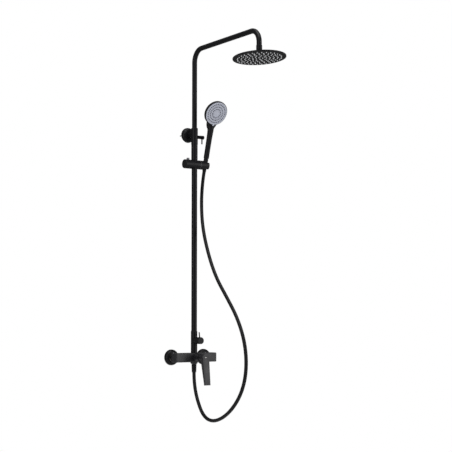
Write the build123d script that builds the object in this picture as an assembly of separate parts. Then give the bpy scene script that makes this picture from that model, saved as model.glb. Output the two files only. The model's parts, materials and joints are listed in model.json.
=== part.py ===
"""Rainfall shower column: a wall-mounted bar mixer with a telescopic riser, an overhead rain
head on a swivel arm, and a hand shower on a slider with its hose.

Frame: millimetres, +Z up, +Y into the wall. The origin lies on the wall, at the height of the
mixer bar and midway between its two inlets. The object is at negative Y.
"""
from build123d import *
import os
from math import cos, radians, sin, sqrt, tan

# ---- driving dimensions -------------------------------------------------------------------
INLET_SPACING = 150.0
RISER_OUT = 52.0            # riser axis to wall
BAR_LENGTH, BAR_HEIGHT, BAR_DEPTH = 188.0, 36.0, 40.0
ARM_HEIGHT = 1227.0         # bar axis to the arm's centre line
ARM_REACH = 442.0           # riser axis to the drop's axis
ARM_BEND = 50.0
BRACKET_HEIGHT = 889.0
SLIDER_HEIGHT = 765.5
UPPER_TUBE_R, UPPER_BORE_R = 10.0, 8.8
LOWER_TUBE_R, LOWER_BORE_R = 11.2, 10.3
UPPER_TUBE_FOOT = 560.0
LOWER_TUBE_FOOT, LOWER_TUBE_TOP = 91.0, 826.0
FLANGE_R, FLANGE_DEPTH = 31.0, 18.0
HEAD_R, HEAD_RIM = 100.0, 5.0
HEAD_HEIGHT = 1118.0        # middle of the rain head's rim
BALL_HEIGHT, BALL_R = 1133.0, 8.5
HEAD_TILT_X, HEAD_TILT_Y = -3.9, -1.2
BARREL_R, BARREL_LEFT, BARREL_RIGHT = 18.0, -48.0, 62.0
HANDLE_LEAN = 16.0          # degrees that the hand shower leans away from the wall
HANDLE_R, HANDLE_BORE_R = 10.8, 8.6
SPRAY_R, SPRAY_LEAN = 50.0, 30.0
LEVER_LENGTH, LEVER_R = 105.0, 15.5
KNOB_HEIGHT, KNOB_R = 66.5, 13.4
HOSE_R = 6.75
FIT = 0.1                   # radial gap of a running fit

# ---- places worked out from them ----------------------------------------------------------
RISER_Y = -RISER_OUT
BAR_BACK = RISER_Y + BAR_DEPTH / 2
BAR_FRONT = RISER_Y - BAR_DEPTH / 2
BAR_TOP = BAR_HEIGHT / 2
INLETS = (-INLET_SPACING / 2, INLET_SPACING / 2)
HOUSING_FRONT = BAR_FRONT - 32
LEVER_PIVOT = (0, HOUSING_FRONT + 4, 0)
DROP_Y = RISER_Y - ARM_REACH
BALL = Vector(0, DROP_Y, BALL_HEIGHT)
CONE = Vector(48, RISER_Y - 4.5, SLIDER_HEIGHT)
CONE_UP = Vector(0, -sin(radians(HANDLE_LEAN)), cos(radians(HANDLE_LEAN)))
SPRAY_CENTRE = Vector(48, -138.5, 963.3)
SPRAY_OUT = Vector(0, -cos(radians(SPRAY_LEAN)), -sin(radians(SPRAY_LEAN)))
CONE_FOOT, CONE_TOP = -26.0, 28.0       # ends of the hose's cone nut along the cone axis
HOSE_NUT_FOOT = -58.0

HOSE_START = (0, RISER_Y, HOSE_NUT_FOOT)
HOSE_END = tuple(CONE + CONE_UP * CONE_FOOT)
HOSE_LEAD = tuple(CONE + CONE_UP * (CONE_FOOT - 50))
HOSE_ROUTE = [
    HOSE_START, (0, RISER_Y, -96), (-6, -82, -160), (-13, -139, -224), (-18, -214, -240),
    (-22, -307, -211), (-25, -387, -153), (-28, -437, -84), (-28, -451, -4), (-26, -432, 79),
    (-22, -380, 160), (-16, -303, 235), (-8, -224, 305), (3, -155, 390), (19, -86, 500),
    (36, -47, 598), HOSE_LEAD, HOSE_END,
]


# ---- helpers ------------------------------------------------------------------------------
def rod(radius, start, end):
    """A cylinder from one point to another."""
    along = Vector(*end) - Vector(*start)
    base = Plane(Vector(*start), z_dir=along)
    return base * Cylinder(radius, along.length, align=(Align.CENTER, Align.CENTER, Align.MIN))


def ring(outer, inner, start, end):
    """A tube from one point to another."""
    return rod(outer, start, end) - rod(inner, start, end)


def cone(start_radius, end_radius, start, end):
    """A cone frustum from one point to another."""
    along = Vector(*end) - Vector(*start)
    base = Plane(Vector(*start), z_dir=along)
    places = (Align.CENTER, Align.CENTER, Align.MIN)
    return base * Cone(start_radius, end_radius, along.length, align=places)


def block(low, high):
    """A box from its lowest to its highest corner."""
    size = [top - bottom for bottom, top in zip(low, high)]
    return Pos(*low) * Box(*size, align=(Align.MIN, Align.MIN, Align.MIN))


def turned(outline, origin, direction):
    """A closed outline of (radius, height) points spun about an axis through origin."""
    corners = [(radius, 0, height) for radius, height in outline]
    solid = revolve(make_face(Polyline(*corners, close=True)), Axis.Z)
    return Plane(Vector(*origin), z_dir=Vector(*direction)) * solid


def dome_outline(radius, depth, hole, rim, steps=8):
    """Outer points of a domed cover: a short straight rim, then a quarter ellipse to its hole."""
    points = [(radius, 0)]
    for step in range(steps + 1):
        turn = radians(90.0 * step / steps)
        points.append((hole + (radius - hole) * cos(turn), rim + (depth - rim) * sin(turn)))
    return points


def domed_cover(radius, depth, hole, origin):
    """A pressed escutcheon of 1.5 mm metal, open at the wall, with a hole at its front."""
    wall = 1.5
    outside = dome_outline(radius, depth, hole, 4)
    inside = dome_outline(radius - wall, depth - wall, hole, 3)
    return turned(outside + inside[::-1], origin, (0, -1, 0))


def hexagon(across_flats, start, end):
    """A hexagonal prism along Y."""
    along = Vector(*end) - Vector(*start)
    base = Plane(Vector(*start), x_dir=(1, 0, 0), z_dir=along)
    outline = RegularPolygon(across_flats / sqrt(3), 6)
    return base * extrude(outline, along.length)


def swept(path, radius):
    """A round bar along a path."""
    return sweep(Plane(path @ 0, z_dir=path % 0) * Circle(radius), path=path)


def at_wall(x, depth, height):
    """A point given by its distance out from the wall."""
    return (x, -depth, height)


def on_cone(distance):
    """A point on the axis of the hand shower's seat."""
    return tuple(CONE + CONE_UP * distance)


def on_spray(back, across=0.0, turn=0.0):
    """A point behind the spray face, at a radius and an angle about its axis."""
    side = Vector(1, 0, 0)
    up = SPRAY_OUT.cross(side)
    centre = SPRAY_CENTRE - SPRAY_OUT * back
    return tuple(centre + side * (across * cos(turn)) + up * (across * sin(turn)))


def tilted(shape):
    """The rain head's rest tilt about its ball."""
    return Pos(*BALL) * Rot(HEAD_TILT_X, HEAD_TILT_Y, 0) * Pos(*-BALL) * shape


def around(count, radius, offset=0.0):
    """Evenly spaced (x, y, angle) places on a circle."""
    turns = [radians(360.0 * (index + offset) / count) for index in range(count)]
    return [(radius * cos(turn), radius * sin(turn), turn) for turn in turns]


parts = {}


# ---- mixer bar ----------------------------------------------------------------------------
def mixer_body():
    """Cast bar with its waterways, the lever's housing and the boss for the hose outlet."""
    bar = Pos(0, RISER_Y, 0) * Box(BAR_LENGTH, BAR_DEPTH, BAR_HEIGHT)
    bar = fillet(bar.edges(), 3.5)
    housing = rod(17.5, (0, RISER_Y - 8, 0), (0, HOUSING_FRONT, 0))
    boss = cone(11.0, 15.0, (0, RISER_Y, -26), (0, RISER_Y, -20))
    boss += rod(15.0, (0, RISER_Y, -20), (0, RISER_Y, 0))
    body = bar + housing + boss
    for x in INLETS:
        side = 1 if x > 0 else -1
        body -= rod(8.9, (x, BAR_BACK + 1, 0), (x, BAR_BACK - 14, 0))
        body -= rod(5.5, (x, BAR_BACK - 8, 0), (16 * side, BAR_BACK - 8, 0))
        body -= rod(3.5, (16 * side, BAR_BACK - 8, 0), (6 * side, BAR_FRONT + 3, 0))
    body -= rod(12.7, (0, HOUSING_FRONT - 1, 0), (0, BAR_FRONT + 4, 0))
    body -= rod(14.3, (0, HOUSING_FRONT - 1, 0), (0, HOUSING_FRONT + 6.5, 0))
    body -= rod(3.0, (0, BAR_FRONT + 5, 7), (0, RISER_Y - 6, 7))
    body -= rod(3.6, (0, RISER_Y - 6, 5), (0, RISER_Y - 6, BAR_TOP))
    body -= rod(3.6, (0, RISER_Y + 5, BAR_TOP), (0, RISER_Y + 5, -14))
    body -= rod(10.5, (0, RISER_Y, BAR_TOP + 1), (0, RISER_Y, BAR_TOP - 6))
    body -= rod(8.25, (0, RISER_Y, -27), (0, RISER_Y, -13))
    return body


def wall_union(x):
    """Threaded connector: G1/2 tail in the wall, G3/4 thread under the bar's nut."""
    union = rod(10.48, at_wall(x, -15, 0), at_wall(x, 1, 0))
    union += hexagon(26, at_wall(x, 0.5, 0), at_wall(x, 8, 0))
    union += rod(13.2, at_wall(x, 8, 0), at_wall(x, 22, 0))
    return union - rod(6.5, at_wall(x, -16, 0), at_wall(x, 23, 0))


def union_nut(x):
    nut = hexagon(30, at_wall(x, 14.3, 0), at_wall(x, 31.4, 0))
    nut &= rod(16.4, at_wall(x, 14, 0), at_wall(x, 32, 0))
    nut -= rod(13.25, at_wall(x, 14, 0), at_wall(x, 26.8, 0))
    return nut - rod(8.95, at_wall(x, 26, 0), at_wall(x, 32, 0))


def inlet_nipple(x):
    nipple = rod(12.8, at_wall(x, 24, 0), at_wall(x, 26.6, 0))
    nipple += rod(8.85, at_wall(x, 26, 0), at_wall(x, 44, 0))
    return nipple - rod(6.0, at_wall(x, 23, 0), at_wall(x, 45, 0))


parts["mixer_body"] = mixer_body()
for side, x in zip(("left", "right"), INLETS):
    parts[f"wall_union_{side}"] = wall_union(x)
    parts[f"wall_flange_{side}"] = domed_cover(FLANGE_R, FLANGE_DEPTH, 17.6, (x, 0, 0))
parts["union_nuts"] = Compound([union_nut(x) for x in INLETS])
parts["inlet_nipples"] = Compound([inlet_nipple(x) for x in INLETS])

outlet_washer = ring(8.1, 5.0, (0, RISER_Y, -43), (0, RISER_Y, -41))
inlet_washers = [ring(12.6, 6.5, at_wall(x, 22, 0), at_wall(x, 24, 0)) for x in INLETS]
parts["fibre_washers"] = Compound([outlet_washer] + inlet_washers)

nipple = ring(8.2, 5.0, (0, RISER_Y, -41), (0, RISER_Y, -13.2))
parts["outlet_nipple"] = nipple
hose_nut = cone(8.9, 10.0, (0, RISER_Y, HOSE_NUT_FOOT), (0, RISER_Y, -27))
hose_nut -= rod(8.25, (0, RISER_Y, -43), (0, RISER_Y, -26))
hose_nut -= rod(5.0, (0, RISER_Y, HOSE_NUT_FOOT - 1), (0, RISER_Y, -42))
parts["hose_nut"] = hose_nut


# ---- lever cartridge ----------------------------------------------------------------------
def out(distance, x=0.0, height=0.0):
    """A point in front of the bar's face."""
    return (x, BAR_FRONT - distance, height)


can = rod(12.6, out(-3.8), out(26)) - rod(9.8, out(4), out(27))
for x, height in ((-6, 0), (6, 0), (0, 7)):
    can -= rod(2.2, out(-5, x, height), out(5, x, height))
parts["cartridge_housing"] = can

ceramic = rod(9.6, out(4.1), out(7.0))
for x, height in ((-6, 0), (6, 0), (0, 7)):
    ceramic -= rod(2.0, out(4, x, height), out(7.1, x, height))
parts["ceramic_base"] = ceramic

parts["cartridge_nut"] = ring(14.2, 10.2, out(26.1), out(31.9))

CAP_R = 16.1
cap = Pos(*LEVER_PIVOT) * (Sphere(CAP_R) - Sphere(CAP_R - 1.8))
cap &= block(out(38.2, -20, -20), out(32.1, 20, 20))
parts["cartridge_cap"] = cap

turret = rod(9.65, out(7.3), out(26))
turret -= block(out(27, -3.3, -7.0), out(17, 3.3, 4.5))
turret -= Pos(*LEVER_PIVOT) * Sphere(6.0)
parts["cartridge_turret"] = turret

stem = rod(3.0, out(19), out(30)) + block(out(53, -3.9, -3.9), out(30, 3.9, 3.9))
parts["cartridge_stem"] = stem


def lever():
    """Round hub that runs into a flat paddle leaning out at its tip."""
    front = LEVER_R
    side_view = [
        (-112.8, 17), (-108, 6), (-108, -17), (-126, -17), (-129, -25), (-144.5, -LEVER_LENGTH),
        (-150.5, -LEVER_LENGTH), (-136.5, front + 2),
    ]
    profile = Plane.YZ * make_face(Polyline(*side_view, close=True))
    slab = extrude(profile, 20, both=True)
    half_top, half_tip = 14.4, 13.0
    corners = [(-half_top, 0), (half_top, 0), (half_tip, -LEVER_LENGTH), (-half_tip, -LEVER_LENGTH)]
    paddle = make_face(Polyline(*corners, close=True))
    paddle = fillet(paddle.vertices().sort_by(Axis.Y)[:2], 3)
    outline = Plane.XZ * (paddle + Circle(LEVER_R))
    body = slab & Pos(0, -100, 0) * extrude(outline, 60)
    body -= Pos(*LEVER_PIVOT) * Sphere(CAP_R + 0.4)
    body -= block(out(53.2, -4, -4), out(40, 4, 4))
    return body - rod(2.5, out(47, 0, -17), out(47, 0, -3))


parts["lever"] = lever()
parts["lever_screw"] = rod(2.45, out(47, 0, -12), out(47, 0, -4.0))

# ---- diverter -----------------------------------------------------------------------------
BODY_R = 12.7
BODY_TOP = 103.5
BOSS_FRONT = RISER_Y - 24


def up(height, y=RISER_Y, x=0.0):
    """A point above the bar's axis."""
    return (x, y, height)


body = rod(BODY_R, up(BAR_TOP), up(BODY_TOP)) + rod(10.45, up(BAR_TOP - 5.9), up(BAR_TOP))
body = chamfer(body.edges().sort_by(Axis.Z)[-1], 1)
body += rod(12.6, (0, RISER_Y, KNOB_HEIGHT), (0, BOSS_FRONT, KNOB_HEIGHT))
body -= rod(9.0, (0, BOSS_FRONT - 1, KNOB_HEIGHT), (0, RISER_Y + 5, KNOB_HEIGHT))
body -= rod(LOWER_TUBE_R + 0.05, up(LOWER_TUBE_FOOT - 0.2), up(BODY_TOP + 1))
body -= rod(8.0, up(KNOB_HEIGHT + 6), up(LOWER_TUBE_FOOT))
body -= rod(3.6, up(BAR_TOP - 7, RISER_Y - 6), up(KNOB_HEIGHT, RISER_Y - 6))
body -= rod(3.6, up(BAR_TOP - 7, RISER_Y + 5), up(KNOB_HEIGHT, RISER_Y + 5))
parts["diverter_body"] = body


def knob(distance, height=KNOB_HEIGHT, x=0.0):
    """A point on the diverter's axis, in front of its boss."""
    return (x, BOSS_FRONT - distance, height)


cartridge = rod(8.95, knob(-28), knob(-2)) - rod(4.05, knob(-14), knob(-1))
cartridge -= rod(2.5, knob(-29), knob(-13))
parts["diverter_cartridge"] = cartridge
bonnet = ring(8.95, 4.3, knob(-2), knob(0)) + ring(10.6, 4.3, knob(0), knob(5))
parts["diverter_bonnet"] = bonnet
stem = rod(3.95, knob(-13.9), knob(16)) + rod(3.95, knob(16), knob(20))
parts["diverter_stem"] = stem
handle = rod(KNOB_R, knob(0.6), knob(26.8))
handle = chamfer(handle.edges().filter_by(GeomType.CIRCLE), 0.8)
handle -= rod(11.0, knob(0), knob(6)) + rod(4.0, knob(0), knob(20.1))
PIN_BASE, PIN_TIP = knob(17.5, KNOB_HEIGHT + 6), knob(16.2, 99.7, -2.4)
parts["diverter_pin"] = cone(2.7, 2.2, PIN_BASE, PIN_TIP)
parts["diverter_knob"] = handle - parts["diverter_pin"]

# ---- riser --------------------------------------------------------------------------------
parts["lower_tube"] = ring(LOWER_TUBE_R, LOWER_BORE_R, up(LOWER_TUBE_FOOT), up(LOWER_TUBE_TOP))

SLEEVE_FOOT, SLEEVE_TOP = 846.0, 912.0
SLIDE_BORE_R = UPPER_TUBE_R + FIT
COLLAR_FOOT = SLIDER_HEIGHT + BARREL_R + 1.2
GROOVES = (830.0, 837.0)
collar = rod(12.7, up(COLLAR_FOOT), up(SLEEVE_FOOT)) + rod(11.8, up(SLEEVE_FOOT), up(856))
collar -= rod(LOWER_TUBE_R + 0.05, up(COLLAR_FOOT - 1), up(LOWER_TUBE_TOP + 0.2))
collar -= rod(SLIDE_BORE_R, up(LOWER_TUBE_TOP), up(857))
for foot in GROOVES:
    collar -= rod(11.7, up(foot), up(foot + 2.4))
parts["seal_collar"] = collar
o_rings = [up(foot + 1.2) for foot in GROOVES]
parts["tube_o_rings"] = Compound([Pos(*place) * Torus(10.88, 0.8) for place in o_rings])

KNOB_Z = BRACKET_HEIGHT - 12.0
sleeve = rod(13.4, up(SLEEVE_FOOT), up(SLEEVE_TOP))
sleeve = chamfer(sleeve.edges().sort_by(Axis.Z)[-1], 0.8)
neck = rod(11.0, (0, RISER_Y, BRACKET_HEIGHT), (0, -12, BRACKET_HEIGHT))
knob_boss = rod(6.2, (5, RISER_Y, KNOB_Z), (17, RISER_Y, KNOB_Z))
bracket = sleeve + neck + knob_boss
bracket -= rod(SLIDE_BORE_R, up(SLEEVE_FOOT - 1), up(SLEEVE_TOP + 1))
bracket -= rod(11.85, up(SLEEVE_FOOT - 1), up(856.1))
bracket -= rod(8.0, (0, -32, BRACKET_HEIGHT), (0, -11, BRACKET_HEIGHT))
bracket -= rod(3.1, (9, RISER_Y, KNOB_Z), (18, RISER_Y, KNOB_Z))
bracket -= rod(2.5, (0, -24, BRACKET_HEIGHT - 12), (0, -24, BRACKET_HEIGHT - 7))
parts["wall_bracket"] = bracket

SCREW_SPACING = 32.0
base = rod(24.0, (0, 0, BRACKET_HEIGHT), (0, -4, BRACKET_HEIGHT))
base += rod(7.95, (0, -4, BRACKET_HEIGHT), (0, -31, BRACKET_HEIGHT))
screws = []
for x in (-SCREW_SPACING / 2, SCREW_SPACING / 2):
    base -= rod(3.5, (x, 1, BRACKET_HEIGHT), (x, -5, BRACKET_HEIGHT))
    shank = rod(2.25, (x, 30, BRACKET_HEIGHT), (x, -4.1, BRACKET_HEIGHT))
    head = turned([(0, 0), (4.5, 0), (4.0, 1.6), (2.5, 2.6), (0, 2.6)],
                  (x, -4.1, BRACKET_HEIGHT), (0, -1, 0))
    screws.append(shank + head)
parts["bracket_base"] = base
parts["bracket_screws"] = Compound(screws)
flange_place = (0, 0, BRACKET_HEIGHT)
parts["bracket_flange"] = domed_cover(FLANGE_R - 1, FLANGE_DEPTH, 11.15, flange_place)
grub_foot, grub_top = BRACKET_HEIGHT - 11.2, BRACKET_HEIGHT - 8.0
parts["bracket_grub_screw"] = rod(2.45, (0, -24, grub_foot), (0, -24, grub_top))


def beside(x, height=KNOB_Z):
    """A point on the lock knob's axis."""
    return (x, RISER_Y, height)


lock = cone(6.6, 7.6, beside(17.4), beside(38)) + rod(7.6, beside(38), beside(43.5))
lock = chamfer(lock.edges().sort_by(Axis.X)[-1], 1.2)
lock += rod(3.0, beside(UPPER_TUBE_R + 0.15), beside(18))
parts["lock_pin"] = rod(2.6, beside(35.5, KNOB_Z - 3), beside(35.5, 850.0))
parts["lock_knob"] = lock - parts["lock_pin"]

# ---- telescopic arm -----------------------------------------------------------------------
bush = ring(LOWER_BORE_R - FIT, 7.4, up(UPPER_TUBE_FOOT - 20), up(UPPER_TUBE_FOOT - 0.1))
bush += ring(UPPER_BORE_R - FIT, 7.4, up(UPPER_TUBE_FOOT - 0.1), up(UPPER_TUBE_FOOT + 14))
parts["guide_bush"] = bush

DROP_FOOT = 1164.5
arm_path = FilletPolyline(
    up(UPPER_TUBE_FOOT), up(ARM_HEIGHT), up(ARM_HEIGHT, DROP_Y), up(DROP_FOOT, DROP_Y),
    radius=ARM_BEND,
)
parts["arm_tube"] = swept(arm_path, UPPER_TUBE_R) - swept(arm_path, UPPER_BORE_R)
arm_end = rod(UPPER_BORE_R - 0.05, up(DROP_FOOT, DROP_Y), up(DROP_FOOT + 15, DROP_Y))
arm_end += rod(9.45, up(DROP_FOOT - 14, DROP_Y), up(DROP_FOOT, DROP_Y))
arm_end -= rod(6.5, up(DROP_FOOT - 15, DROP_Y), up(DROP_FOOT + 16, DROP_Y))
parts["arm_end"] = arm_end

swivel = rod(11.3, up(1147, DROP_Y), up(DROP_FOOT - 0.1, DROP_Y))
swivel = chamfer(swivel.edges().filter_by(GeomType.CIRCLE), 0.8)
swivel += rod(5.0, up(BALL_HEIGHT, DROP_Y), up(1148, DROP_Y))
swivel += Pos(*BALL) * Sphere(BALL_R)
swivel -= rod(9.5, up(1150.3, DROP_Y), up(DROP_FOOT, DROP_Y))
swivel -= rod(3.0, up(1120, DROP_Y), up(1151, DROP_Y))
parts["ball_fitting"] = swivel


# ---- rain head ----------------------------------------------------------------------------
def ball_shell(low, high):
    """A zone of the liner between the ball and its housing."""
    shell = Sphere(BALL_R + 1.4) - Sphere(BALL_R + FIT)
    return Pos(*BALL) * (shell & block((-15, -15, low), (15, 15, high)))


parts["ball_ring"] = tilted(ball_shell(1.7, 4.8))
parts["ball_seat"] = tilted(ball_shell(-6.5, -1.7))

HUB_CAVITY_R = BALL_R + 1.5
hub_outline = [(0, 1119.6), (13.0, 1119.6), (13.0, 1133.5), (9.4, 1139), (0, 1139)]
hub = turned(hub_outline, (0, DROP_Y, 0), (0, 0, 1))
hub -= Pos(*BALL) * Sphere(HUB_CAVITY_R)
hub -= rod(8.0, up(1136, DROP_Y), up(1140, DROP_Y))
hub -= rod(4.0, up(1119, DROP_Y), up(1126, DROP_Y))
parts["head_hub"] = tilted(hub)

HEAD_FOOT = HEAD_HEIGHT - HEAD_RIM / 2
SHELL_WALL = 1.2
shell_outline = [
    (HEAD_R, 0), (HEAD_R, HEAD_RIM - 1), (HEAD_R - 1, HEAD_RIM), (60, 7.2), (24, 8.6), (17, 10),
    (13.2, 10), (13.2, 8.6 - SHELL_WALL), (24, 8.6 - SHELL_WALL), (60, 7.2 - SHELL_WALL),
    (HEAD_R - 1.5, HEAD_RIM - SHELL_WALL), (HEAD_R - 1.5, 0),
]
shell = turned(shell_outline, (0, DROP_Y, HEAD_FOOT), (0, 0, 1))
parts["head_shell"] = tilted(shell)

NOZZLE_RINGS = ((82, 30), (68, 24), (54, 20), (40, 14), (26, 9), (12, 4))
nozzle_places = []
for index, (radius, count) in enumerate(NOZZLE_RINGS):
    nozzle_places += around(count, radius, 0.5 * (index % 2))
holes = [Pos(x, y, 1) * Cylinder(2.3, 4) for x, y, turn in nozzle_places]
nubs = [Pos(x, y, 0) * Cylinder(2.0, 7) for x, y, turn in nozzle_places]
face = Pos(0, 0, 1) * Cylinder(HEAD_R - 1.6, 2)
face -= Compound(holes)
mat = Pos(0, 0, 2.6) * Cylinder(90, 1) + nubs
head_place = Pos(0, DROP_Y, HEAD_FOOT)
parts["head_face"] = tilted(head_place * face)
parts["head_nozzles"] = tilted(head_place * mat)


# ---- slider -------------------------------------------------------------------------------
def along(x, y=RISER_Y, height=SLIDER_HEIGHT):
    """A point on the slider barrel's axis."""
    return (x, y, height)


BUTTON_X, BUTTON_Y = -28.0, RISER_Y + 4
BARREL_SEAM = 21.3
barrel = rod(BARREL_R, along(BARREL_LEFT + 4), along(BARREL_SEAM))
barrel -= rod(12.85, up(SLIDER_HEIGHT - 20), up(SLIDER_HEIGHT + 20))
barrel -= rod(14.0, along(BARREL_LEFT + 3), along(-15))
barrel -= block(along(-16, RISER_Y - 3.3, SLIDER_HEIGHT - 6), along(-11, RISER_Y + 3.3, SLIDER_HEIGHT + 6))
barrel -= rod(6.2, (BUTTON_X, BUTTON_Y, SLIDER_HEIGHT), (BUTTON_X, BUTTON_Y, SLIDER_HEIGHT + 20))
barrel -= rod(4.0, along(12), along(BARREL_SEAM + 1))
parts["slider_body"] = barrel
cap = rod(BARREL_R, along(BARREL_LEFT), along(BARREL_LEFT + 4))
cap = fillet(cap.edges().sort_by(Axis.X)[0], 1.5)
parts["slider_cap"] = cap + rod(13.9, along(BARREL_LEFT + 3), along(BARREL_LEFT + 7))
liner = ring(12.8, LOWER_TUBE_R + FIT, up(SLIDER_HEIGHT - 12.4), up(SLIDER_HEIGHT + 12.4))
liner -= block(along(-14, RISER_Y - 3.3, SLIDER_HEIGHT - 6), along(-9, RISER_Y + 3.3, SLIDER_HEIGHT + 6))
parts["slider_liner"] = liner
parts["friction_ring"] = ring(BARREL_R - 0.3, 4.1, along(BARREL_SEAM), along(BARREL_SEAM + 1))
axle = rod(3.95, along(13.0), along(33.5)) + rod(6.5, along(33.5), along(37))
parts["holder_axle"] = axle

button_top = SLIDER_HEIGHT + 25.5
button = rod(6.0, (BUTTON_X, BUTTON_Y, SLIDER_HEIGHT + 8), (BUTTON_X, BUTTON_Y, button_top))
button = fillet(button.edges().sort_by(Axis.Z)[-1], 2.5)
button += rod(2.5, (BUTTON_X, BUTTON_Y, SLIDER_HEIGHT - 4), (BUTTON_X, BUTTON_Y, SLIDER_HEIGHT + 8))
parts["slider_button"] = button
SPRING_FOOT = SLIDER_HEIGHT - 10
spring_path = Helix(pitch=3.0, height=16, radius=4.0)
spring_wire = sweep(Plane(spring_path @ 0, z_dir=spring_path % 0) * Circle(0.5), path=spring_path)
parts["button_spring"] = Pos(BUTTON_X, BUTTON_Y, SPRING_FOOT + 0.6) * spring_wire
shoe = block(along(-15.5, RISER_Y - 3, SLIDER_HEIGHT - 5.5), along(-11.4, RISER_Y + 3, SLIDER_HEIGHT + 5.5))
parts["brake_shoe"] = shoe - rod(LOWER_TUBE_R + FIT, up(SLIDER_HEIGHT - 9), up(SLIDER_HEIGHT + 9))

holder = rod(BARREL_R, along(BARREL_SEAM + 1.2), along(BARREL_RIGHT))
holder = fillet(holder.edges().filter_by(GeomType.CIRCLE).sort_by(Axis.X)[-1], 1.5)
holder -= rod(4.05, along(BARREL_SEAM), along(34)) + rod(6.8, along(33.3), along(44))
holder -= cone(7.9, 9.9, on_cone(-25), on_cone(25))
slot = Box(30, 15.0, 60, align=(Align.MIN, Align.CENTER, Align.CENTER))
holder -= Plane(CONE, x_dir=(1, 0, 0), z_dir=CONE_UP) * slot
parts["handset_holder"] = holder

# ---- hand shower --------------------------------------------------------------------------
nut = cone(7.6, 9.3, on_cone(-21), on_cone(20)) + cone(9.3, 8.7, on_cone(20), on_cone(CONE_TOP))
nut += rod(7.6, on_cone(CONE_FOOT), on_cone(-21))
nut -= rod(7.0, on_cone(9), on_cone(CONE_TOP + 1)) + rod(4.8, on_cone(CONE_FOOT - 1), on_cone(10))
parts["cone_nut"] = nut

HANDLE_FOOT = CONE_TOP + 0.3
handle_start = Vector(*on_cone(HANDLE_FOOT))
handle_turn = handle_start + CONE_UP * 128
rim_entry = Vector(*on_spray(12.6, SPRAY_R - 12, radians(-90)))
handle_path = FilletPolyline(tuple(handle_start), tuple(handle_turn), tuple(rim_entry), radius=60)
head_back = [(0, 2.6), (SPRAY_R - 3, 2.6), (SPRAY_R - 3, 0.4), (SPRAY_R, 0.4), (SPRAY_R, 9)]
for step in range(1, 7):
    turn = radians(15.0 * step)
    head_back.append((SPRAY_R * cos(turn), 9 + 14 * sin(turn)))
head = turned(head_back, SPRAY_CENTRE, -SPRAY_OUT)
hollow = [(0, 2.5), (SPRAY_R - 5, 2.5), (SPRAY_R - 5, 9), (SPRAY_R - 18, 15), (0, 18.5)]
handset = head + swept(handle_path, HANDLE_R) + Pos(*rim_entry) * Sphere(HANDLE_R)
handset -= turned(hollow, SPRAY_CENTRE, -SPRAY_OUT)
handset -= swept(handle_path, HANDLE_BORE_R)
handset -= rod(SPRAY_R - 3, on_spray(-3), on_spray(2.6))
parts["handset_body"] = handset
connector = rod(HANDLE_BORE_R - 0.05, on_cone(HANDLE_FOOT), on_cone(HANDLE_FOOT + 16))
connector += rod(6.9, on_cone(11.1), on_cone(HANDLE_FOOT))
connector -= rod(4.5, on_cone(11), on_cone(HANDLE_FOOT + 17))
parts["handset_connector"] = connector
parts["handset_washer"] = ring(6.8, 4.8, on_cone(9.1), on_cone(11))


def spray_place(back, x=0.0, y=0.0):
    """A place on the spray face's plane, facing out."""
    plane = Plane(SPRAY_CENTRE, x_dir=(1, 0, 0), z_dir=SPRAY_OUT)
    return plane * Pos(x, y, -back)


SPRAY_RINGS = ((38, 30), (28, 24), (18, 16))
spray_holes, spray_nubs = [], []
for index, (radius, count) in enumerate(SPRAY_RINGS):
    for x, y, turn in around(count, radius, 0.5 * (index % 2)):
        spray_holes.append(spray_place(1, x, y) * Cylinder(1.5, 6))
        spray_nubs.append(spray_place(0.3, x, y) * Cylinder(1.2, 3.4))
plate = spray_place(0.7) * Cylinder(SPRAY_R - 3.3, 2.6)
tab = spray_place(-0.9, 0, SPRAY_R - 3) * Box(7, 9, 1.8)
if tab.center().Z > SPRAY_CENTRE.Z:
    tab = spray_place(-0.9, 0, 3 - SPRAY_R) * Box(7, 9, 1.8)
parts["spray_plate"] = plate + tab - Compound(spray_holes)
parts["spray_nozzles"] = spray_place(2.2) * Cylinder(SPRAY_R - 9, 0.3) + spray_nubs


# ---- hose ---------------------------------------------------------------------------------
def bend_radii(route):
    """Each bend as large as its two runs allow."""
    places = [Vector(*point) for point in route]
    radii = []
    for before, corner, after in zip(places, places[1:], places[2:]):
        come, leave = corner - before, after - corner
        half_turn = radians(come.get_angle(leave)) / 2
        radii.append(0.45 * min(come.length, leave.length) / tan(half_turn))
    return radii


radii = bend_radii(HOSE_ROUTE)
hose_path = FilletPolyline(*HOSE_ROUTE, radius=radii)
parts["hose"] = swept(hose_path, HOSE_R)
print("hose bend radii", [round(radius) for radius in radii])
print("hose length", round(hose_path.length, 1))

os.makedirs("parts", exist_ok=True)
for name, shape in parts.items():
    export_step(shape, f"parts/{name}.step")
print(len(parts), "parts")
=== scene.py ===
# %% [markdown]
# # A rainfall shower column
# This lesson dresses a finished CAD model for a picture. The engineering model already holds every
# size, place and joint, so it is loaded as a fixed frame. Here the pieces get their finishes, and
# the ones whose shape is too plain for a close look are modelled again in the same place. All
# numbers are metres. The wall is the plane y = 0, the object stands out from it towards -y, and
# z = 0 is the height of the mixer bar.

# %% The frame
import bpy
import json
from math import cos, pi, radians, sin
from mathutils import Matrix, Vector


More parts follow.
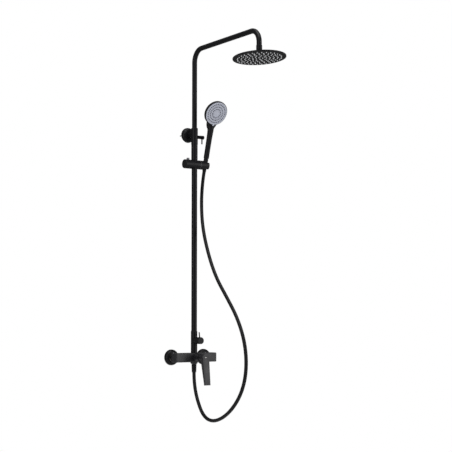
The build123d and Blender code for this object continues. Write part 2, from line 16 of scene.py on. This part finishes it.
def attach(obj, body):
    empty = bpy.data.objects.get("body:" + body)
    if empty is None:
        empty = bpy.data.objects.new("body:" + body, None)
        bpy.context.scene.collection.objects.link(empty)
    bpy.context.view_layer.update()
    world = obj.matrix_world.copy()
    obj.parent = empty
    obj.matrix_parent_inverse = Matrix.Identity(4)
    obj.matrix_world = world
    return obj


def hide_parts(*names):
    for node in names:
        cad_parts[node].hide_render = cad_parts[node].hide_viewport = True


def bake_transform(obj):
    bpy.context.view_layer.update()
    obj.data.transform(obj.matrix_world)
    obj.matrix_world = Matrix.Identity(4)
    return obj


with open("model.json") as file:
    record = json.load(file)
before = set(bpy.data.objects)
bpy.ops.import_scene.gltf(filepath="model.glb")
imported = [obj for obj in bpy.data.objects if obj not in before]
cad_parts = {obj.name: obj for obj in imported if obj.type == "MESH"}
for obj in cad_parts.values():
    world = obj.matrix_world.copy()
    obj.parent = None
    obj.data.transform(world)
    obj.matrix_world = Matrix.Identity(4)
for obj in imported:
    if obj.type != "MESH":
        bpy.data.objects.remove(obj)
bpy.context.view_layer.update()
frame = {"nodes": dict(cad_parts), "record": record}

nodes = frame["nodes"]

# %% [markdown]
# ## Small habits
# Operators work on whatever is selected, and the loaded model arrives selected. So every step
# starts from nothing selected and picks its own object. A finished piece has its place baked into
# its mesh, with the object itself at the origin, so that patterns in object space stay put.


# %% Helpers for selecting and finishing
def nothing_selected():
    if bpy.context.object and bpy.context.object.mode != "OBJECT":
        bpy.ops.object.mode_set(mode="OBJECT")
    bpy.ops.object.select_all(action="DESELECT")


def pick(piece):
    nothing_selected()
    piece.select_set(True)
    bpy.context.view_layer.objects.active = piece
    return piece


def settle(piece):
    """Bakes the object's place, turn and scale into its mesh."""
    pick(piece)
    bpy.ops.object.transform_apply(location=True, rotation=True, scale=True)
    return piece


def apply_modifiers(piece):
    pick(piece)
    for modifier in list(piece.modifiers):
        bpy.ops.object.modifier_apply(modifier=modifier.name)
    return piece


def smooth(piece, angle=35):
    pick(piece)
    bpy.ops.object.shade_smooth_by_angle(angle=radians(angle))
    return piece


def joined(name, pieces):
    pick(pieces[0])
    for piece in pieces:
        piece.select_set(True)
    if len(pieces) > 1:
        bpy.ops.object.join()
    pieces[0].name = name
    return pieces[0]


# %% [markdown]
# ## The camera
# The column is seen from the left and from far away, through a long lens, as products usually are.
# A camera looks along its own -z, so its turn is built from three directions: right, up and back.

# %% Camera
LENS_MM, SENSOR_MM = 93.17, 36.0
CAMERA_PLACE = Vector((-2.5091, -3.9566, 0.1736))
CAMERA_TURN, CAMERA_TILT = radians(-34.281), radians(4.264)

back = Vector((
    sin(CAMERA_TURN) * cos(CAMERA_TILT), -cos(CAMERA_TURN) * cos(CAMERA_TILT), -sin(CAMERA_TILT),
))
right = Vector((cos(CAMERA_TURN), sin(CAMERA_TURN), 0))
upward = back.cross(right)
nothing_selected()
bpy.ops.object.camera_add(location=CAMERA_PLACE)
camera = bpy.context.object
camera.name = "camera"
stance = Matrix((right, upward, back)).transposed().to_4x4()
camera.matrix_world = Matrix.Translation(CAMERA_PLACE) @ stance
camera.data.lens = LENS_MM
camera.data.sensor_width = SENSOR_MM
camera.data.clip_end = 60
bpy.context.scene.camera = camera
print("camera", [round(value, 3) for value in camera.location])

# %% [markdown]
# ## The hose
# A shower hose is a fixed length of something springy that hangs from two ends. It leaves the
# outlet under the bar straight down, swings out in one long loop, and comes up under the holder.
# A NURBS line through a few listed control points gives that single smooth curve. It is
# ordered as a quadratic after its points are in, because an earlier setting is lost.

# %% The hose's line
HOSE_R = 0.00675
OUTLET = (0, -0.052, -0.058)
CONE_LEAN = radians(16)
CONE_SEAT = Vector((0.048, -0.0565, 0.7655))
CONE_UP = Vector((0, -sin(CONE_LEAN), cos(CONE_LEAN)))
END_DEPTH, LEAD_DEPTH = 0.026, 0.076
HOSE_END = tuple(CONE_SEAT - CONE_UP * END_DEPTH)
HOSE_LEAD = tuple(CONE_SEAT - CONE_UP * LEAD_DEPTH)
HOSE_ROUTE = [
    OUTLET, (0, -0.052, -0.096), (-0.006, -0.082, -0.160), (-0.013, -0.139, -0.224),
    (-0.018, -0.214, -0.240), (-0.022, -0.307, -0.211), (-0.025, -0.387, -0.153),
    (-0.028, -0.437, -0.084), (-0.028, -0.451, -0.004), (-0.026, -0.432, 0.079),
    (-0.022, -0.380, 0.160), (-0.016, -0.303, 0.235), (-0.008, -0.224, 0.305),
    (0.003, -0.155, 0.390), (0.019, -0.086, 0.500), (0.036, -0.047, 0.598), HOSE_LEAD, HOSE_END,
]


def nurbs_line(points):
    """The points that a NURBS curve with these control points passes through."""
    curve = bpy.data.curves.new("route", "CURVE")
    curve.dimensions = "3D"
    spline = curve.splines.new("NURBS")
    spline.points.add(len(points) - 1)
    for control, place in zip(spline.points, points):
        control.co = (*place, 1)
    spline.order_u = 3
    spline.use_endpoint_u = True
    spline.resolution_u = 16
    line = bpy.data.objects.new("route", curve)
    bpy.context.scene.collection.objects.link(line)
    mesh = bpy.data.meshes.new_from_object(line)
    places = [vertex.co.copy() for vertex in mesh.vertices]
    bpy.data.objects.remove(line)
    return places


def length_of(places):
    return sum((after - before).length for before, after in zip(places, places[1:]))


hose_line = nurbs_line(HOSE_ROUTE)
print("hose length", round(length_of(hose_line), 4))

# %% [markdown]
# ## The hose's tube
# The hose is taken as 1.5 m, a usual length for such a hose. The line was drawn to come out
# near it. The measure printed above gives the line's length; it isn't compared with 1.5 m, and
# doesn't prove the length.
# One tube follows the whole line, from the nut under the outlet to the nut in the holder. It is
# baked in place and hung on no body, so it stays put when the slider moves, and when the holder
# turns, the tube's end stays behind. The nut can also be lifted out of the holder by hand, so a
# short tail of the same hose sits inside the tube's end and leaves with the nut.


# %% A tube along a line
TAIL_LENGTH, TAIL_INSET = 0.060, 0.0003


def tube(name, places, radius):
    """A round tube along some places, made from a bevelled curve."""
    curve = bpy.data.curves.new(name, "CURVE")
    curve.dimensions = "3D"
    curve.twist_mode = "MINIMUM"
    spline = curve.splines.new("POLY")
    spline.points.add(len(places) - 1)
    for control, place in zip(spline.points, places):
        control.co = (*place, 1)
    curve.bevel_depth = radius
    curve.bevel_resolution = 8
    curve.use_fill_caps = True
    piece = bpy.data.objects.new(name, curve)
    bpy.context.scene.collection.objects.link(piece)
    pick(piece)
    bpy.ops.object.convert(target="MESH")
    return smooth(bpy.context.object, 60)


# %% The hose and its tail
hose = tube("hose_tube", hose_line, HOSE_R)
tail_line = [place for place in hose_line if length_of([place, Vector(HOSE_END)]) < TAIL_LENGTH]
hose_tail = tube("hose_tail", tail_line, HOSE_R - TAIL_INSET)
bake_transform(hose)
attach(hose_tail, "hose_end")
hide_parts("hose")

# %% [markdown]
# ## Finishes
# The whole column is coated in one matte black. A flat black would look like a hole, so every
# finish here has three quiet layers: a colour that drifts a little, a roughness that drifts more,
# and a fine bump. All of them read object coordinates, at the scale of the real surface.


# %% A finish from noise
NOISE_LOW, NOISE_HIGH = 0.3, 0.7
BUMP_HEIGHT = 0.0004


def finish(name, dark, light, rough, bump=0.05, grain=900, drift=30, metal=0.0, shine=0.5):
    material = bpy.data.materials.new(name)
    material.use_nodes = True
    tree = material.node_tree
    shader = tree.nodes["Principled BSDF"]
    place = tree.nodes.new("ShaderNodeTexCoord")
    broad = tree.nodes.new("ShaderNodeTexNoise")
    broad.inputs["Scale"].default_value = drift
    broad.inputs["Detail"].default_value = 4
    fine = tree.nodes.new("ShaderNodeTexNoise")
    fine.inputs["Scale"].default_value = grain
    fine.inputs["Detail"].default_value = 3
    tint = tree.nodes.new("ShaderNodeMix")
    tint.data_type = "RGBA"
    tint.inputs["A"].default_value = (*dark, 1)
    tint.inputs["B"].default_value = (*light, 1)
    spread = tree.nodes.new("ShaderNodeMapRange")
    spread.inputs["From Min"].default_value = NOISE_LOW
    spread.inputs["From Max"].default_value = NOISE_HIGH
    spread.inputs["To Min"].default_value = rough[0]
    spread.inputs["To Max"].default_value = rough[1]
    relief = tree.nodes.new("ShaderNodeBump")
    relief.inputs["Strength"].default_value = bump
    relief.inputs["Distance"].default_value = BUMP_HEIGHT
    for noise in (broad, fine):
        tree.links.new(place.outputs["Object"], noise.inputs["Vector"])
    tree.links.new(broad.outputs["Fac"], tint.inputs["Factor"])
    tree.links.new(broad.outputs["Fac"], spread.inputs["Value"])
    tree.links.new(fine.outputs["Fac"], relief.inputs["Height"])
    tree.links.new(tint.outputs["Result"], shader.inputs["Base Color"])
    tree.links.new(spread.outputs["Result"], shader.inputs["Roughness"])
    tree.links.new(relief.outputs["Normal"], shader.inputs["Normal"])
    shader.inputs["Metallic"].default_value = metal
    shader.inputs["Specular IOR Level"].default_value = shine
    return material


black_coat = finish("black_coat", (0.0030, 0.0030, 0.0038), (0.0055, 0.0055, 0.0068), (0.34, 0.44),
                    bump=0.08, shine=0.16)
# A lighter copy of the one black coat, with painted light: its paler colour and extra shine stand
# in for the light that the lever and the bar's front catch.
painted_lit_coat = finish("painted_lit_coat", (0.0080, 0.0078, 0.0098), (0.0115, 0.0112, 0.0138), (0.40, 0.50),
                    bump=0.08, shine=0.45)
head_black = finish("head_black", (0.0018, 0.0018, 0.0022), (0.0032, 0.0032, 0.0038), (0.42, 0.52),
                    bump=0.05, shine=0.08)
black_plastic = finish("black_plastic", (0.0035, 0.0035, 0.0042), (0.0055, 0.0055, 0.0068),
                       (0.36, 0.46), bump=0.05, grain=1500, shine=0.18)
hose_black = finish("hose_black", (0.0025, 0.0025, 0.0032), (0.0045, 0.0045, 0.0055), (0.40, 0.52),
                    bump=0.06, grain=1200, shine=0.20)
brass = finish("brass", (0.60, 0.42, 0.18), (0.75, 0.56, 0.28), (0.22, 0.36), metal=1.0)
steel = finish("steel", (0.42, 0.42, 0.44), (0.60, 0.60, 0.62), (0.20, 0.34), metal=1.0)
grey_face = finish("grey_face", (0.44, 0.46, 0.54), (0.51, 0.53, 0.61), (0.28, 0.36), bump=0.03)
grey_silicone = finish("grey_silicone", (0.74, 0.75, 0.77), (0.84, 0.85, 0.87), (0.45, 0.6),
                       bump=0.04)
dark_silicone = finish("dark_silicone", (0.035, 0.035, 0.055), (0.060, 0.060, 0.085), (0.45, 0.6))
grey_plastic = finish("grey_plastic", (0.10, 0.10, 0.11), (0.14, 0.14, 0.15), (0.35, 0.45))
white_plastic = finish("white_plastic", (0.70, 0.69, 0.64), (0.80, 0.79, 0.75), (0.4, 0.5))
ceramic = finish("ceramic", (0.78, 0.77, 0.73), (0.86, 0.85, 0.82), (0.10, 0.16), bump=0.01)
rubber = finish("rubber", (0.010, 0.010, 0.010), (0.018, 0.018, 0.018), (0.55, 0.7), bump=0.1)

BY_SLOT = {
    "black_coat": black_coat, "black_plastic": black_plastic, "brass": brass, "steel": steel,
    "grey_face": grey_face, "grey_silicone": grey_silicone, "grey_plastic": grey_plastic,
    "white_plastic": white_plastic, "ceramic": ceramic, "rubber": rubber, "hose": hose_black,
}


def dress(piece, material):
    piece.data.materials.clear()
    piece.data.materials.append(material)
    return piece


for entry in frame["record"]["subparts"]:
    node = nodes[entry["node"]]
    node.data.materials.clear()
    node.data.materials.append(BY_SLOT[entry["material_slot"]])
# The bar wears the lighter copy of the black coat, so painted light brightens its front.
nodes["mixer_body"].data.materials[0] = painted_lit_coat
nodes["head_face"].data.materials[0] = head_black
for piece in (hose, hose_tail):
    dress(piece, hose_black)
print("finishes", len(BY_SLOT))

# %% [markdown]
# ## Turned pieces
# A wall cover, a spray head and a rubber nub are all turned shapes. By hand one starts from a
# circle and extrudes it again and again, moving and scaling every new ring to the next step of the
# outline. The outline lists (radius, height) pairs. The finished shape is then stood on its axis.


# %% Turning from a circle
MERGE_WITHIN = 0.000004


def turned(name, outline, origin=(0, 0, 0), axis=(0, 0, 1), sides=64, closed=True):
    nothing_selected()
    radius, height = outline[0]
    bpy.ops.mesh.primitive_circle_add(vertices=sides, radius=radius, location=(0, 0, height))
    piece = settle(bpy.context.object)
    piece.name = name
    bpy.ops.object.mode_set(mode="EDIT")
    bpy.ops.mesh.select_all(action="SELECT")
    for next_radius, next_height in outline[1:]:
        rise = (0, 0, next_height - height)
        bpy.ops.mesh.extrude_region_move(TRANSFORM_OT_translate={"value": rise})
        grow = next_radius / radius
        bpy.ops.transform.resize(value=(grow, grow, 1), center_override=(0, 0, next_height))
        radius, height = next_radius, next_height
    bpy.ops.mesh.select_all(action="SELECT")
    bpy.ops.mesh.remove_doubles(threshold=MERGE_WITHIN)
    if closed:
        bpy.ops.mesh.select_all(action="DESELECT")
        bpy.ops.mesh.select_non_manifold()
        bpy.ops.mesh.edge_face_add()
    bpy.ops.mesh.select_all(action="SELECT")
    bpy.ops.mesh.normals_make_consistent(inside=False)
    bpy.ops.object.mode_set(mode="OBJECT")
    turn = Vector((0, 0, 1)).rotation_difference(Vector(axis))
    piece.matrix_world = Matrix.Translation(Vector(origin)) @ turn.to_matrix().to_4x4()
    return settle(piece)


# %% [markdown]
# ## Wall covers
# Three pressed covers hide the fixings in the wall. A cover is a shallow dome of thin metal with a
# rolled foot. Its highlight shows every facet, so the dome gets many small steps, and the inside
# follows the outside one wall's thickness in.

# %% The three covers
COVER_WALL = 0.0015
COVER_DEPTH = 0.018
RIM_OUTSIDE, RIM_INSIDE = 0.004, 0.003
INLET_X, INLET_R, INLET_HOLE = 0.075, 0.031, 0.0176
BRACKET_Z, BRACKET_R, BRACKET_HOLE = 0.889, 0.030, 0.01115


def dome(radius, depth, hole, rim, steps):
    places = [(radius, 0)]
    for step in range(steps + 1):
        angle = pi / 2 * step / steps
        reach = hole + (radius - hole) * cos(angle)
        places.append((reach, rim + (depth - rim) * sin(angle)))
    return places


def cover(name, x, height, radius, hole, node):
    outside = dome(radius, COVER_DEPTH, hole, RIM_OUTSIDE, 18)
    inside = dome(radius - COVER_WALL, COVER_DEPTH - COVER_WALL, hole, RIM_INSIDE, 12)
    outline = outside + inside[::-1]
    outline = outline + outline[:1]
    piece = turned(name, outline, (x, 0, height), (0, -1, 0), sides=96, closed=False)
    dress(smooth(piece, 40), black_coat)
    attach(piece, "root")
    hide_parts(node)
    return piece


covers = [
    cover("cover_left", -INLET_X, 0, INLET_R, INLET_HOLE, "wall_flange_left"),
    cover("cover_right", INLET_X, 0, INLET_R, INLET_HOLE, "wall_flange_right"),
    cover("cover_bracket", 0, BRACKET_Z, BRACKET_R, BRACKET_HOLE, "bracket_flange"),
]
print("covers", len(covers))

# %% [markdown]
# ## The hand shower
# The handle widens into the head in one flowing neck, which is why it feels moulded and not
# assembled. Three rough shapes are laid over each other: a tapered bar along a bent line, a domed
# disc, and a flat ellipsoid where the two meet. A voxel remesh melts them into one skin, a
# smoothing pass rounds the join, and only then are the crisp parts cut: the seat for the spray
# face, the handle's flat foot, and the bore in it. The smoothing rounds the foot away a little, so
# the handle starts too low and is cut back to its place.

# %% Places on the hand shower
SPRAY_CENTRE = Vector((0.048, -0.1385, 0.9633))
SPRAY_LEAN = radians(30)
SPRAY_OUT = Vector((0, -cos(SPRAY_LEAN), -sin(SPRAY_LEAN)))
SPRAY_UP = SPRAY_OUT.cross(Vector((1, 0, 0)))
HEAD_RADIUS = 0.050
handle_foot = CONE_SEAT + CONE_UP * 0.0283
FOOT_SPARE = 0.004


def behind_spray(back, up=0.0):
    return SPRAY_CENTRE - SPRAY_OUT * back + SPRAY_UP * up


# %% Handle and neck
def tapered_bar(name, places, radii):
    curve = bpy.data.curves.new(name, "CURVE")
    curve.dimensions = "3D"
    spline = curve.splines.new("NURBS")
    spline.points.add(len(places) - 1)
    for control, place, radius in zip(spline.points, places, radii):
        control.co = (*place, 1)
        control.radius = radius
    spline.order_u = 3
    spline.use_endpoint_u = True
    spline.resolution_u = 24
    curve.bevel_depth = 1.0
    curve.bevel_resolution = 10
    curve.use_fill_caps = True
    piece = bpy.data.objects.new(name, curve)
    bpy.context.scene.collection.objects.link(piece)
    pick(piece)
    bpy.ops.object.convert(target="MESH")
    return bpy.context.object


handle_places = [
    handle_foot - CONE_UP * FOOT_SPARE, handle_foot + CONE_UP * 0.045,
    handle_foot + CONE_UP * 0.090, handle_foot + CONE_UP * 0.118,
    behind_spray(0.0150, -0.054), behind_spray(0.0140, -0.036), behind_spray(0.0125, -0.012),
]
handle_radii = [0.0108, 0.0108, 0.0113, 0.0127, 0.0142, 0.0125, 0.0100]
handset_handle = tapered_bar("handset_handle", handle_places, handle_radii)

# %% Head, melted into the neck
HEAD_SIDE, HEAD_DOME, DOME_STEPS = 0.0090, 0.0140, 15
VOXEL, SMOOTHINGS = 0.0011, 20
head_outline = [(HEAD_RADIUS - 0.0008, 0.0004), (HEAD_RADIUS, 0.0014), (HEAD_RADIUS, HEAD_SIDE)]
for step in range(1, DOME_STEPS):
    angle = pi / 2 * step / DOME_STEPS
    head_outline.append((HEAD_RADIUS * cos(angle), HEAD_SIDE + HEAD_DOME * sin(angle)))
handset_head = turned("handset_head", head_outline, SPRAY_CENTRE, -SPRAY_OUT, sides=72)
nothing_selected()
bpy.ops.mesh.primitive_uv_sphere_add(segments=64, ring_count=32, radius=1)
handset_flare = bpy.context.object
stance = Matrix((Vector((1, 0, 0)), SPRAY_UP, -SPRAY_OUT)).transposed().to_4x4()
widths = Matrix.Diagonal((0.0250, 0.0420, 0.0105, 1))
handset_flare.matrix_world = Matrix.Translation(behind_spray(0.0130, -0.036)) @ stance @ widths
settle(handset_flare)
handset = joined("handset", [handset_handle, handset_head, handset_flare])
remesh = handset.modifiers.new("melt", "REMESH")
remesh.mode = "VOXEL"
remesh.voxel_size = VOXEL
soften = handset.modifiers.new("soften", "SMOOTH")
soften.factor = 0.5
soften.iterations = SMOOTHINGS
apply_modifiers(handset)
print("handset faces", len(handset.data.polygons))


# %% Cutting the crisp parts
def cut(piece, cutter):
    carve = piece.modifiers.new("cut", "BOOLEAN")
    carve.operation = "DIFFERENCE"
    carve.solver = "EXACT"
    carve.object = cutter
    apply_modifiers(piece)
    bpy.data.objects.remove(cutter)
    return piece


def plug(name, radius, length, foot, axis, sides):
    """A plain turned cylinder, used up as a cutter."""
    return turned(name, [(radius, 0.0), (radius, length)], foot, axis, sides=sides)


seat = plug("seat", 0.0470, 0.0056, behind_spray(-0.0030), -SPRAY_OUT, 96)
trim_foot = handle_foot - CONE_UP * 2 * FOOT_SPARE
trim = plug("trim", 0.0160, 2 * FOOT_SPARE, trim_foot, CONE_UP, 40)
bore = plug("bore", 0.0072, 0.019, handle_foot - CONE_UP * 0.002, CONE_UP, 40)
for cutter in (seat, trim, bore):
    cut(handset, cutter)
dress(smooth(handset, 40), black_plastic)
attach(handset, "hand_shower")
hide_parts("handset_body")

# %% [markdown]
# ## The spray face
# The face is pale and slightly glossy. It carries three rings of soft nozzles, and two fine raised
# rings that divide the spray patterns. The nozzles are darker than the face.

# %% Dividing rings
RING_RADII, RING_WIRE = (0.0435, 0.0125), 0.0006
for number, radius in enumerate(RING_RADII):
    nothing_selected()
    bpy.ops.mesh.primitive_torus_add(
        major_radius=radius, minor_radius=RING_WIRE, major_segments=96, minor_segments=10,
    )
    ring = bpy.context.object
    ring.name = f"face_ring_{number + 1}"
    turn = Vector((0, 0, 1)).rotation_difference(SPRAY_OUT)
    ring.matrix_world = Matrix.Translation(behind_spray(-RING_WIRE)) @ turn.to_matrix().to_4x4()
    settle(ring)
    dress(smooth(ring, 60), grey_face)
    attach(ring, "spray_dial")



# %% Copies around rings
def ringed(first, rings, place_at):
    """Copies a nub around rings of (radius, count), every other ring half a step on."""
    copies = []
    for index, (radius, count) in enumerate(rings):
        for number in range(count):
            angle = 2 * pi * (number + 0.5 * (index % 2)) / count
            nub = first.copy()
            nub.data = first.data.copy()
            bpy.context.scene.collection.objects.link(nub)
            nub.matrix_world = place_at(radius * cos(angle), radius * sin(angle))
            copies.append(nub)
    bpy.data.objects.remove(first)
    return copies


# %% Spray nozzles
SPRAY_RINGS = ((0.038, 30), (0.028, 24), (0.018, 16))
SPRAY_NUB = [(0.0024, 0.0016), (0.0024, -0.0008), (0.0020, -0.0014), (0.0012, -0.0016)]
spray_turn = Vector((0, 0, -1)).rotation_difference(SPRAY_OUT).to_matrix().to_4x4()


def on_spray_face(across, along):
    place = SPRAY_CENTRE + Vector((across, 0, 0)) + SPRAY_UP * along
    return Matrix.Translation(place) @ spray_turn


spray_nubs = ringed(turned("spray_nub", SPRAY_NUB, sides=12), SPRAY_RINGS, on_spray_face)
spray_jets = settle(joined("spray_jets", spray_nubs))
dress(smooth(spray_jets, 40), dark_silicone)
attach(spray_jets, "spray_dial")
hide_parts("spray_nozzles")
print("spray nubs", len(spray_nubs))

# %% [markdown]
# ## The rain head's nozzles
# Each nozzle is a soft tapered nub that can be rubbed clean with a thumb. One nub is turned and
# copied around six rings. The rings are staggered, so the jets don't line up.

# %% Nubs in rings
BALL = Vector((0, -0.494, 1.133))
HEAD_FOOT = Vector((0, -0.494, 1.1155))
LEAN_X, LEAN_Y = radians(-3.9), radians(-1.2)
head_tilt = (
    Matrix.Translation(BALL) @ Matrix.Rotation(LEAN_X, 4, "X")
    @ Matrix.Rotation(LEAN_Y, 4, "Y") @ Matrix.Translation(-BALL)
)
NOZZLE_RINGS = ((0.082, 30), (0.068, 24), (0.054, 20), (0.040, 14), (0.026, 9), (0.012, 4))
NUB_OUTLINE = [
    (0.0022, 0.0005), (0.0022, -0.0006), (0.0018, -0.0024), (0.0015, -0.0032), (0.0010, -0.0035),
]


def under_head(across, along):
    return head_tilt @ Matrix.Translation(HEAD_FOOT + Vector((across, along, 0)))


nubs = ringed(turned("nub", NUB_OUTLINE, sides=14), NOZZLE_RINGS, under_head)
rain_nubs = settle(joined("rain_nubs", nubs))
dress(smooth(rain_nubs, 40), grey_silicone)
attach(rain_nubs, "rain_head")
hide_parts("head_nozzles")
print("rain nubs", len(nubs), "in", len(NOZZLE_RINGS), "rings")

# %% [markdown]
# ## The lever
# The lever is a round hub that runs into a flat paddle, cast as one. Casting leaves no sharp edge
# anywhere, and those soft edges are what the light finds. A box is pulled into the paddle's wedge,
# joined to a turned hub, relieved at the back so it can lift, hollowed for the ball below, and
# then bevelled all round.

# %% Paddle and hub
LEVER_PIVOT = Vector((0, -0.100, 0))
HUB_R, HUB_BACK, HUB_FRONT = 0.0155, 0.108, 0.1372
PADDLE_LENGTH, TOP_HALF, FOOT_HALF = 0.105, 0.0144, 0.0130
TOP_FRONT, TOP_BACK, FOOT_FRONT, FOOT_BACK = -0.1384, -0.1200, -0.1505, -0.1445
nothing_selected()
bpy.ops.mesh.primitive_cube_add(size=1, location=(0, 0, 0))
lever = bpy.context.object
lever.name = "lever_body"
for corner in lever.data.vertices:
    at_top, in_front = corner.co.z > 0, corner.co.y < 0
    side = 1 if corner.co.x > 0 else -1
    half, height = (TOP_HALF, 0.0) if at_top else (FOOT_HALF, -PADDLE_LENGTH)
    if at_top:
        reach = TOP_FRONT if in_front else TOP_BACK
    else:
        reach = FOOT_FRONT if in_front else FOOT_BACK
    corner.co = (side * half, reach, height)
hub = turned("hub", [(HUB_R, HUB_BACK), (HUB_R, HUB_FRONT)], axis=(0, -1, 0), sides=96)
weld = lever.modifiers.new("weld", "BOOLEAN")
weld.operation = "UNION"
weld.solver = "EXACT"
weld.object = hub
apply_modifiers(lever)
bpy.data.objects.remove(hub)

# %% Relief, hollow and soft edges
HOLLOW_R, SOFT_EDGE = 0.0165, 0.0009
pick(lever)
bpy.ops.object.mode_set(mode="EDIT")
bpy.ops.mesh.select_all(action="SELECT")
bpy.ops.mesh.bisect(
    plane_co=(0, -0.108, 0.006), plane_no=(0, 0.917, 0.400), clear_outer=True, use_fill=True,
)
bpy.ops.object.mode_set(mode="OBJECT")
nothing_selected()
bpy.ops.mesh.primitive_uv_sphere_add(
    segments=64, ring_count=32, radius=HOLLOW_R, location=LEVER_PIVOT,
)
cut(lever, settle(bpy.context.object))
edge = lever.modifiers.new("edge", "BEVEL")
edge.width, edge.segments = SOFT_EDGE, 4
edge.limit_method, edge.angle_limit = "ANGLE", radians(40)
apply_modifiers(lever)
# The lever wears the lighter copy of the black coat, so painted light brightens it.
dress(smooth(lever, 35), painted_lit_coat)
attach(lever, "lever")
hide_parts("lever")

# %% The plain oval on the hub
nothing_selected()
bpy.ops.mesh.primitive_uv_sphere_add(
    segments=40, ring_count=20, radius=1, location=(0, -HUB_FRONT, 0.0015),
)
mark = bpy.context.object
mark.name = "hub_oval"
mark.scale = (0.0036, 0.0006, 0.0013)
settle(mark)
dress(smooth(mark, 60), white_plastic)
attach(mark, "lever")
print("lever faces", len(lever.data.polygons))

# %% [markdown]
# ## Stage and light
# A pale floor well under the hose, a white room for the background, and three big soft lights.
# Black shapes are drawn by what they reflect, so the lights are long panels: one tall on the left,
# one on the right, and one overhead.

# %% Floor
FLOOR_Z, FLOOR_R = -0.75, 2.6
nothing_selected()
bpy.ops.mesh.primitive_circle_add(
    vertices=96, radius=FLOOR_R, fill_type="NGON", location=(0, -0.3, FLOOR_Z),
)
floor = settle(bpy.context.object)
floor.name = "floor"
floor_paint = finish("floor_paint", (0.80, 0.80, 0.80), (0.84, 0.84, 0.84), (0.6, 0.7))
floor.data.materials.append(floor_paint)


# %% Lights and surroundings
def panel(name, place, target, width, height, power):
    nothing_selected()
    bpy.ops.object.light_add(type="AREA", location=place)
    light = bpy.context.object
    light.name = name
    light.data.shape = "RECTANGLE"
    light.data.size, light.data.size_y = width, height
    light.data.energy = power
    aim = Vector(target) - Vector(place)
    light.rotation_euler = aim.to_track_quat("-Z", "Y").to_euler()
    return light


MIDDLE = (0, -0.2, 0.5)
ROOM_GLOW = 0.24
panel("light_left", (-3.4, -1.2, 1.0), MIDDLE, 1.2, 3.2, 42)
panel("light_right", (2.2, -3.3, 0.9), MIDDLE, 1.5, 3.2, 62)
panel("light_above", (-0.4, -1.2, 3.4), MIDDLE, 2.4, 2.4, 80)

world = bpy.data.worlds.new("studio")
bpy.context.scene.world = world
world.use_nodes = True
tree = world.node_tree
background = tree.nodes["Background"]
background.inputs["Color"].default_value = (1, 1, 1, 1)
ray = tree.nodes.new("ShaderNodeLightPath")
level = tree.nodes.new("ShaderNodeMapRange")
level.inputs["To Min"].default_value = ROOM_GLOW
level.inputs["To Max"].default_value = 1.0
tree.links.new(ray.outputs["Is Camera Ray"], level.inputs["Value"])
tree.links.new(level.outputs["Result"], background.inputs["Strength"])
bpy.context.scene.view_settings.view_transform = "Standard"
